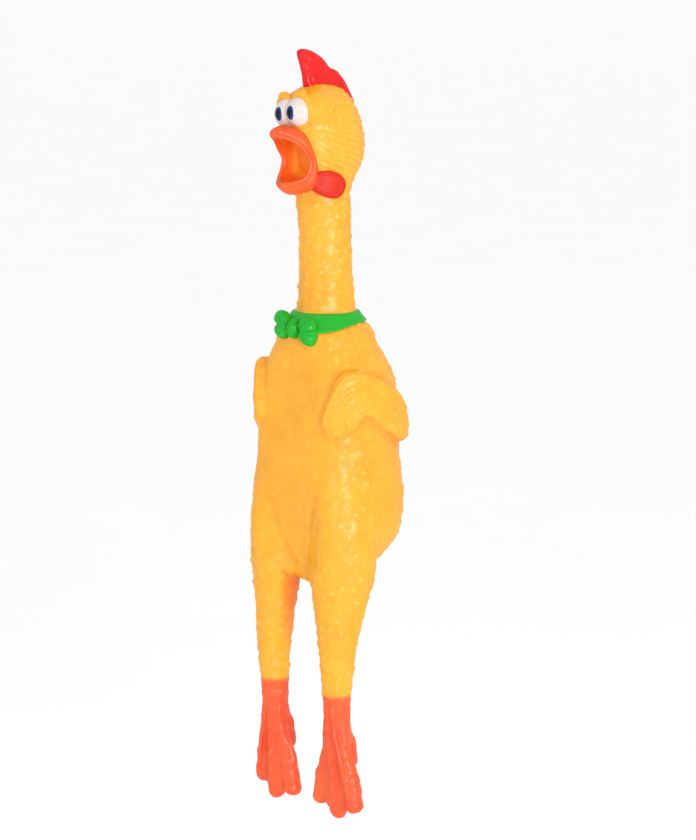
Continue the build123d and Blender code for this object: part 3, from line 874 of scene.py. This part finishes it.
def comb(x, y, z):
    d = polygon(y, z, COMB_OUTLINE)
    depth = np.clip(-d, 0, None)
    half = 2.8 * np.sqrt(1 - (1 - np.clip(depth / 3.4, 0, 1)) ** 2)
    root = np.clip((83 - z + 0.32 * np.clip(-y - 4, -20, 0)) / 7, 0, 1)
    half += 1.5 * root**1.5 * np.clip(depth / 3, 0, 1)
    dimples = 0.5 * np.sin(y * 0.9 + z * 0.35) * np.sin(z * 0.6 + y * 0.2)
    dimples = dimples * np.clip(depth / 2, 0, 1)
    ribs = np.cos(2.4 * y + 0.5 * np.sin(0.7 * z)) * np.clip(np.sin(0.75 * z + 0.3 * y), 0, 1)
    ribs *= 0.3 * fade(-y, 6, 9) * fade(depth, 1.0, 2.5)
    inside = np.abs(x) - half - dimples - ribs
    return np.where(d > 0, np.sqrt(d * d + np.abs(x) ** 2), inside * 0.8)


feature("comb_vinyl", comb, ((-6, -24, 64), (6, 22, 100)), COMB_RED, "head", "comb")

WATTLE_AT, WATTLE_TILT = (14.4, -11.2, 29.1), math.radians(20)


def wattle(x, y, z):
    x = np.abs(x)
    px, py, pz = x - WATTLE_AT[0], y - WATTLE_AT[1], z - WATTLE_AT[2]
    t = px * 0.50 + py * 0.866
    n = px * 0.866 - py * 0.50
    u = t * math.cos(WATTLE_TILT) - pz * math.sin(WATTLE_TILT)
    v = t * math.sin(WATTLE_TILT) + pz * math.cos(WATTLE_TILT)
    flat = ((np.abs(u) / 9.3) ** 2.5 + (np.abs(v) / 6.7) ** 2.5) ** (1 / 2.5)
    edge = (flat - 1) * 7.2
    rim = 0.35 * np.exp(-(((edge + 1.5) / 0.8) ** 2))
    curl = 0.02 * u * u
    slab = np.abs(n + 1.6 + curl) - 2.6 - rim
    return smooth_max(edge, slab, 1.8)


for side, sign in SIDES:
    box = side_box((3, -24, 18), (22, 3, 40), sign)
    feature(
        f"{side}_wattle_vinyl", one_side(wattle, sign, 0), box, WATTLE_RED, "head",
        f"{side}_wattle",
    )


# beak: stations round the mouth from the top by the left corner to the bottom. Each is the x, y
# and z of a profile from under the skin, over the lip, and back into the mouth.
STATIONS = [
    (
        [0] * 10,
        (-23.5, -28.4, -33.5, -36.9, -37.8, -36.2, -32.5, -26, -18.5, -13.5),
        (57.5, 58.9, 58.3, 56.9, 55.0, 53.3, 52.8, 52.0, 51.0, 48.0),
    ),
    (
        (6.4, 7.8, 8.9, 8.8, 7.7, 6.4, 6.0, 6.1, 6.0, 5.2),
        (-20, -23.3, -25.7, -27.8, -28.6, -27.4, -24.3, -20.5, -16.5, -13.8),
        (54.5, 55.4, 53.8, 51.6, 50.7, 50.9, 50.3, 50.0, 49.3, 46.5),
    ),
    (
        (9.3, 11.0, 11.8, 11.4, 10.2, 8.9, 8.3, 8.1, 7.8, 6.8),
        (-16.5, -19.9, -21.6, -23.2, -23.8, -23.0, -21.0, -18, -15.6, -13.6),
        (48.3, 48.7, 47.7, 46.4, 45.9, 46.3, 46.4, 46.4, 46.2, 44.8),
    ),
    (
        (10.0, 11.8, 12.4, 11.7, 10.4, 9.2, 8.6, 8.4, 8.2, 7.2),
        (-14.2, -17.0, -18.6, -20.2, -20.8, -20.2, -18.6, -16.3, -14.8, -13.4),
        (41.5, 41.5, 41.5, 41.4, 41.4, 41.5, 41.5, 41.5, 41.4, 41.2),
    ),
    (
        (9.5, 11.8, 12.5, 12.0, 10.7, 9.3, 8.6, 8.3, 8.0, 6.9),
        (-12.6, -16.6, -18.7, -20.7, -21.5, -21.1, -19.2, -16.5, -14.9, -13.5),
        (35, 34.6, 34.7, 35.2, 35.7, 36.2, 36.4, 36.6, 37, 37.6),
    ),
    (
        (7.4, 9.4, 10.1, 9.9, 8.9, 7.5, 6.7, 6.4, 6.2, 5.2),
        (-9.0, -15.5, -20.6, -24.0, -25.2, -24.6, -21.4, -18, -15.6, -13.5),
        (30.0, 27.4, 27.4, 29.6, 31.5, 32.4, 32.5, 32.6, 33.2, 35.0),
    ),
    (
        [0] * 10,
        (-11.5, -17.5, -24.5, -30.2, -32.5, -31.4, -28.0, -22.5, -17.5, -13.3),
        (27.0, 24.2, 23.6, 25.9, 28.4, 30.1, 29.9, 29.6, 30.4, 33.4),
    ),
]


ROUND_STEPS, ACROSS_STEPS = 9, 8  # from one station, and one point of a profile, to the next
CREST, GROOVE, RIM, LINING = 24, 25, 33, 46  # steps along a profile where these are or start
BEAK_CORNER = 41.5  # height where the upper beak meets the lower
MOUTH_BACK = (0, -9.0, 41.0)


def catmull(rows, parts, closed):
    """Smooth curve through rows of points (any trailing shape), parts steps a span."""
    n = len(rows)
    out = []
    spans = n if closed else n - 1
    for i in range(spans):
        pick = (lambda k: rows[k % n]) if closed else (lambda k: rows[min(max(k, 0), n - 1)])
        p0, p1, p2, p3 = pick(i - 1), pick(i), pick(i + 1), pick(i + 2)
        for s in range(parts):
            t = s / parts
            out.append(
                0.5 * (2 * p1 + (p2 - p0) * t + (2 * p0 - 5 * p1 + 4 * p2 - p3) * t**2
                       + (3 * p1 - p0 - 3 * p2 + p3) * t**3)
            )
    if not closed:
        out.append(rows[-1])
    return np.array(out)


def build_beak():
    half = [np.array(s, float).T for s in STATIONS]
    mirror = [s * np.array([-1, 1, 1]) for s in half[1:-1]][::-1]
    ring = catmull(np.array(half + mirror), ROUND_STEPS, True)  # (round, profile, 3)
    grid = np.array([catmull(profile, ACROSS_STEPS, False) for profile in ring])
    # a groove round the lip and a thin rim inside it, both gone in the middle
    outward = np.cross(np.gradient(grid, axis=1), np.gradient(grid, axis=0))
    outward /= np.maximum(np.linalg.norm(outward, axis=2), 1e-9)[..., None]
    crest = grid[:, CREST]
    away = crest - crest.mean(0) - np.array([0, 9.0, 0])
    outward *= np.sign((outward[:, CREST] * away).sum(1))[:, None, None]
    step = np.arange(grid.shape[1])
    rim = 0.42 * np.exp(-(((step - RIM) / 2.4) ** 2))
    groove = 0.75 * np.exp(-(((step - GROOVE) / 2.8) ** 2))
    relief = (rim - groove)[None, :] * fade(np.abs(crest[:, 0]), 1, 5)[:, None]
    grid = grid + outward * relief[:, :, None]
    # the back of the mouth, rounded in to one point
    last = grid[:, -1]
    back = np.array(MOUTH_BACK)
    closing = []
    for s in (0.06, 0.16, 0.3, 0.48, 0.7, 0.86):
        ringed = last + (back - last) * s
        ringed[:, 1] = last[:, 1] + (back[1] - last[:, 1]) * math.sqrt(1 - (1 - s) ** 2)
        closing.append(ringed)
    grid = np.concatenate([grid] + [c[:, None] for c in closing], axis=1)
    rounds, across = grid.shape[:2]
    points = np.vstack([grid.reshape(-1, 3), back])
    faces, labels = [], []
    for i in range(rounds):
        j = (i + 1) % rounds
        lip = "upper" if (grid[i, 0, 2] + grid[j, 0, 2]) / 2 > BEAK_CORNER else "lower"
        a, b = i * across, j * across
        for k in range(across - 1):
            faces.append([a + k, a + k + 1, b + k + 1, b + k])
            labels.append("lining" if k >= LINING else lip)
        faces.append([a + across - 1, rounds * across, b + across - 1])
        labels.append("lining")
    normals = vertex_normals(points, faces)
    if normals[int(np.argmin(points[:, 1]))][1] > 0:
        faces = [f[::-1] for f in faces]
        normals = -normals
    for label, node, material in (
        ("upper", "upper_beak", BEAK),
        ("lower", "lower_beak", BEAK),
        ("lining", "mouth_lining", MOUTH_INSIDE),
    ):
        part = [f for f, its in zip(faces, labels) if its == label]
        shape = (points, part, normals, {})
        wear(f"{node}_vinyl", shape, material, "head", node)


build_beak()


# ---- eyes
# painted shade: the eyes turn orange below these heights
LOW_SHADE_HEIGHTS = (0.066, 0.057)  # in metres, where the orange starts and is full


def eye_material():
    """White, with a little orange painted shade low on the eye and in the fold between the eyes."""
    n = vinyl(
        "eye_white", (0.63, 0.545, 0.51), (0.67, 0.60, 0.565), rough=0.28, coat=0.2, scatter=0.06
    )
    rest = n.attribute("rest", "Vector")
    base = n.shader.inputs["Base Color"].links[0].from_socket
    low = n.spread(n.axis(rest, 2), *LOW_SHADE_HEIGHTS)
    # painted orange shade low on the eye, broken up by noise
    low_shade = n.math("MULTIPLY", low, n.cloudy(rest, 120, 0.3, 1, detail=2))
    n.feed("Base Color", n.mix(n.math("MULTIPLY", low_shade, 0.35), base, (0.93, 0.55, 0.42)))
    return n.material


def pupil_material():
    """Black in the middle, navy round it and a thin blue rim, from the ring attribute."""
    n = Nodes("pupil_blue")
    rest = n.attribute("rest", "Vector")
    ring = n.math("ADD", n.attribute("ring"), n.cloudy(rest, 700, -0.05, 0.05))
    colour = n.mix(n.spread(ring, 0.42, 0.62), (0.002, 0.003, 0.008), (0.006, 0.022, 0.10))
    n.feed("Base Color", n.mix(n.spread(ring, 0.78, 0.95), colour, (0.02, 0.13, 0.42)))
    n.feed("Roughness", n.cloudy(rest, 300, 0.30, 0.42, detail=2))
    n.set(Specular_IOR_Level=0.22, IOR=1.45)
    return n.material


EYE_WHITE, PUPIL = eye_material(), pupil_material()
EYE_RINGS, EYE_SPOKES = 40, 72
EYE_REACH = math.radians(112)  # how far back the eyeball goes, from its front
PUPIL_AT, PUPIL_R = (4.3, 64.8), (2.6, 3.8)
PUPIL_RINGS, PUPIL_SPOKES = 14, 48


def eye_front(x, z, sign):
    (cx, cy, cz), (rx, ry, rz) = EYE
    inner = 1 - ((x - sign * cx) / rx) ** 2 - ((z - cz) / rz) ** 2
    return cy - ry * np.sqrt(np.clip(inner, 0, None))


def ring_faces(rings, spokes):
    """Quads between rings of points."""
    faces = []
    for a in range(0, rings * spokes, spokes):
        b = a + spokes
        for k in range(spokes):
            m = (k + 1) % spokes
            faces.append([a + k, a + m, b + m, b + k])
    return faces


def build_eyeball(side, sign):
    (cx, cy, cz), (rx, ry, rz) = EYE
    points = []
    for i in range(EYE_RINGS + 1):
        tilt = EYE_REACH * i / EYE_RINGS
        out, ahead = math.sin(tilt), math.cos(tilt)
        for k in range(EYE_SPOKES):
            a = 2 * math.pi * k / EYE_SPOKES
            px, pz = sign * cx + rx * out * math.cos(a), cz + rz * out * math.sin(a)
            points.append((px, cy - ry * ahead, pz))
    points = np.array(points)
    # the two eyes meet in the middle, and the faces that this flattens are dropped
    points[:, 0] = np.where(points[:, 0] * sign < 0, 0, points[:, 0])
    points[:, 2] += TILT * points[:, 0]
    faces = ring_faces(EYE_RINGS, EYE_SPOKES)
    faces = [f for f in faces if len({tuple(np.round(points[v], 4)) for v in f}) > 2]
    faces = trimmed(points, [np.array(f) for f in faces], 0.8)
    shape = (points, faces, None, {})
    wear(f"{side}_eyeball", shape, EYE_WHITE, "head", f"{side}_eye")


def build_pupil(side, sign):
    points, ring = [], []
    for i in range(PUPIL_RINGS + 1):
        share = i / PUPIL_RINGS
        for k in range(PUPIL_SPOKES):
            a = 2 * math.pi * k / PUPIL_SPOKES
            px = sign * PUPIL_AT[0] + PUPIL_R[0] * share * math.cos(a)
            pz = PUPIL_AT[1] + PUPIL_R[1] * share * math.sin(a)
            lift = 0.28 * (1 - share**6) - (0.15 if i == PUPIL_RINGS else 0)
            points.append((px, float(eye_front(px, pz, sign)) - lift, pz + TILT * px))
            ring.append(math.hypot(share * math.cos(a), share * math.sin(a) - 0.12 * (1 - share)))
    faces = ring_faces(PUPIL_RINGS, PUPIL_SPOKES)
    shape = (np.array(points), faces, None, {"ring": np.array(ring)})
    wear(f"{side}_pupil_paint", shape, PUPIL, "head", f"{side}_pupil")


for side, sign in SIDES:
    build_eyeball(side, sign)
    build_pupil(side, sign)


# ---- collar and bow tie
COLLAR_TOP = -37.4
BOW_Z = -44.8


def collar(x, y, z):
    band = smooth_max(trunk(x, y, z) - 2.0, z - COLLAR_TOP, 1.2)
    lower = -42.6 - 4.3 * fade(-y, -6, 25)
    return smooth_max(band, lower - z, 1.4)


def bow_loop(x, y, z):
    """One puffed loop, pinched towards the knot, with creases that fan out from it."""
    up = z + 0.1 * x - BOW_Z
    x = np.abs(x)
    spread = 3.4 + 4.0 * fade(x, 2, 9)
    flat = ((np.abs(x - 8.6) / 6.0) ** 3 + (np.abs(up) / spread) ** 3 + 1e-9) ** (1 / 3)
    d = (np.hypot(flat, (y + 21.3) / 4.9) - 1) * 4.6
    d += 1.2 * np.exp(-((up / 1.3) ** 2)) * fade(x, 2, 5) * fade(-y, 18.5, 23)
    for tilt in (0.62, -0.62):
        line = up - tilt * (x - 3.0)
        d += 0.6 * np.exp(-((line / 0.75) ** 2)) * fade(x, 12, 9) * fade(-y, 20, 24)
    return d


def bow_knot(x, y, z):
    d = ellipsoid(x, y, z, (0, -22.8, -44.9), (3.4, 3.8, 5.4))
    return d + 0.3 * np.cos(x * 2.4) ** 2


feature(
    "collar_vinyl", collar, ((-30, -30, -54), (30, 30, -35)), GREEN, "torso", "collar"
)
feature(
    "bow_knot_vinyl", bow_knot, ((-5, -31, -52), (5, -16, -37)), GREEN, "torso", "bow_knot",
    FINEST,
)
for side, sign in SIDES:
    box = side_box((1.0, -30, -55), (16, -13, -35), sign)
    feature(
        f"bow_{side}_loop_vinyl", one_side(bow_loop, sign, 1.2), box, GREEN, "torso",
        f"bow_{side}_loop", FINEST,
    )


# ---- the whistle's CAD pieces
def plastic(name, a, b, rough):
    n = Nodes(name)
    place = n.tree.nodes.new("ShaderNodeTexCoord").outputs["Object"]
    n.feed("Base Color", n.mix(n.cloudy(place, 300), a, b))
    n.feed("Roughness", n.cloudy(place, 500, rough - 0.05, rough + 0.08, detail=2))
    n.feed("Normal", n.bump(n.noise(place, 2500, 2), 0.3, 0.00004))
    n.set(IOR=1.5)
    return n.material


WHISTLE = plastic("whistle_plastic", (0.78, 0.78, 0.74), (0.86, 0.86, 0.83), 0.42)
FILM = plastic("reed_film", (0.66, 0.69, 0.71), (0.78, 0.81, 0.83), 0.18)
for node in ("whistle_barrel", "whistle_cap", "reed_seat", "reed_clip", "reed"):
    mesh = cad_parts[node].data
    mesh.materials.clear()
    mesh.materials.append(FILM if node == "reed" else WHISTLE)


# ---- floor, light and camera
FLOOR_Z = -0.42  # the bird hangs above it, metres


def floor_material():
    n = Nodes("floor")
    place = n.tree.nodes.new("ShaderNodeTexCoord").outputs["Object"]
    n.feed("Base Color", n.mix(n.cloudy(place, 6), (0.95, 0.95, 0.95), (0.96, 0.96, 0.96)))
    n.set(Roughness=0.7)
    return n.material


bpy.ops.mesh.primitive_plane_add(size=300, location=(0, 0, FLOOR_Z))
floor = bpy.context.object
floor.name = "floor"
floor.data.materials.append(floor_material())

world = bpy.data.worlds.new("studio")
world.use_nodes = True
world.node_tree.nodes["Background"].inputs[0].default_value = (1, 1, 1, 1)
world.node_tree.nodes["Background"].inputs[1].default_value = 1.0
bpy.context.scene.world = world

LIGHT_AIM = Vector((0, 0, -0.14))


def direction(azimuth, elevation):
    """Unit vector towards a place, in degrees round from the bird's front and up."""
    a, e = math.radians(azimuth), math.radians(elevation)
    return Vector((math.sin(a) * math.cos(e), -math.cos(a) * math.cos(e), math.sin(e)))


def area_light(name, azimuth, elevation, distance, size, power):
    light = bpy.data.lights.new(name, "AREA")
    light.size = size
    light.energy = power
    made_light = bpy.data.objects.new(name, light)
    way = direction(azimuth, elevation)
    made_light.location = LIGHT_AIM + way * distance
    made_light.rotation_euler = way.to_track_quat("Z", "Y").to_euler()
    bpy.context.scene.collection.objects.link(made_light)


area_light("key", 67, 10, 1.5, 0.45, 9.5)
area_light("front", 22, 6, 1.7, 0.25, 2)
bpy.context.scene.view_settings.view_transform = "Standard"

# the photograph's view and framing
AZIMUTH, ELEVATION, DISTANCE = 46, 10, 1.35
PIXEL = 0.000521  # metres at the bird
PICTURE_HEIGHT, SENSOR = 840, 36
right = Vector((math.cos(math.radians(AZIMUTH)), math.sin(math.radians(AZIMUTH)), 0))
back = direction(AZIMUTH, ELEVATION)
aim = right * 0.01146 + Vector((0, 0, -0.0952))
camera = bpy.data.objects.new("camera", bpy.data.cameras.new("camera"))
camera.data.lens = SENSOR * (DISTANCE / PIXEL) / PICTURE_HEIGHT
camera.data.sensor_width = SENSOR
camera.location = aim + back * DISTANCE
camera.rotation_euler = back.to_track_quat("Z", "Y").to_euler()
camera.data.clip_start, camera.data.clip_end = 0.05, 50
bpy.context.scene.collection.objects.link(camera)
bpy.context.scene.camera = camera
